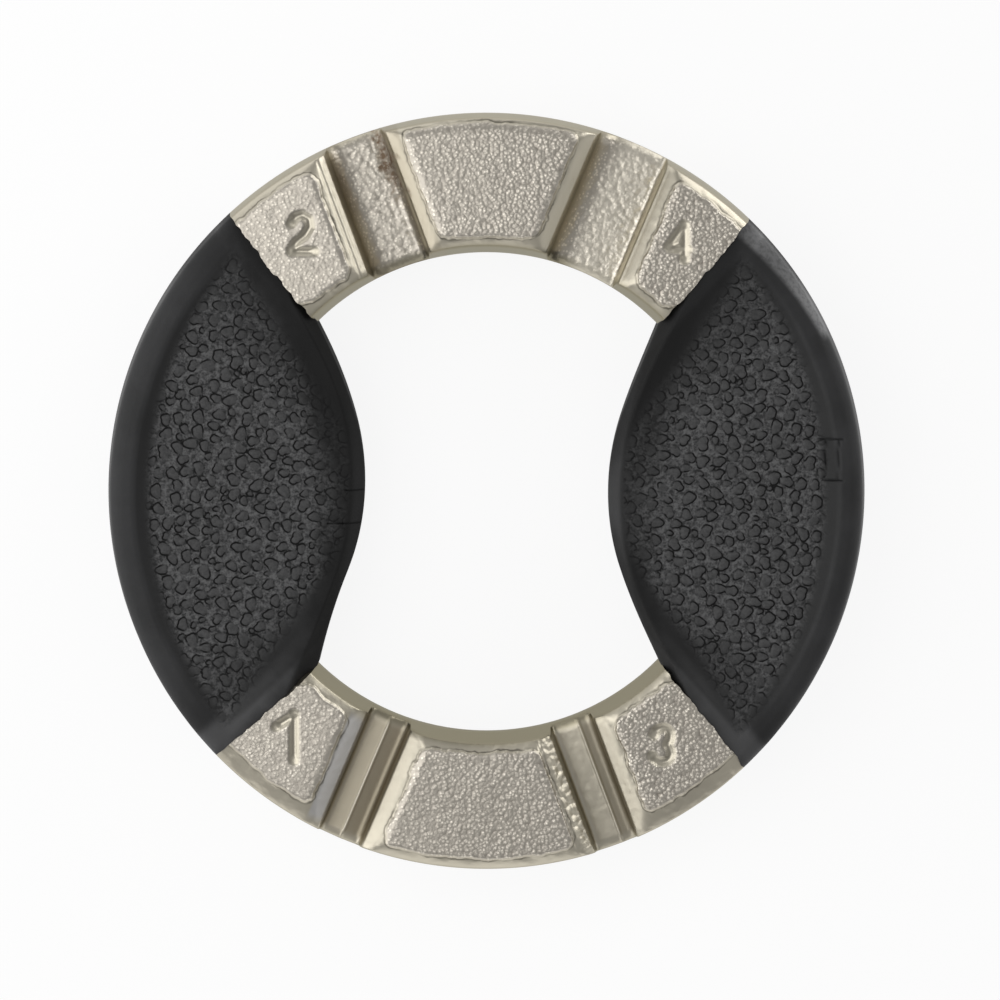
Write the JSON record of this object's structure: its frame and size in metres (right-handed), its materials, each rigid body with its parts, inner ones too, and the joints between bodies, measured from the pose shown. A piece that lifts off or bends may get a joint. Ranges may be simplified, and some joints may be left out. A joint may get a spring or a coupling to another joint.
{
  "type": "spoke wrench",
  "caption": "Ring-shaped bicycle spoke wrench: nickel-plated cast ring with graded nipple slots across its face, and dished rubber grips moulded on its sides.",
  "frame": {"origin": "centre of the ring, on its parting plane halfway through its thickness", "axes": "+Z out of the slotted face, +X towards the right grip and +Y towards slots 2 and 4"},
  "size_m": [0.056, 0.056, 0.009],
  "materials": {
    "plated_casting": "satin nickel plate over a cast steel surface, rough on the pads and smooth on the bevels",
    "grip_rubber": "matt black moulded rubber with a pebbled thumb dish"
  },
  "bodies": {
    "root": {"ring": "plated_casting", "left_grip": "grip_rubber", "right_grip": "grip_rubber"}
  },
  "joints": []
}
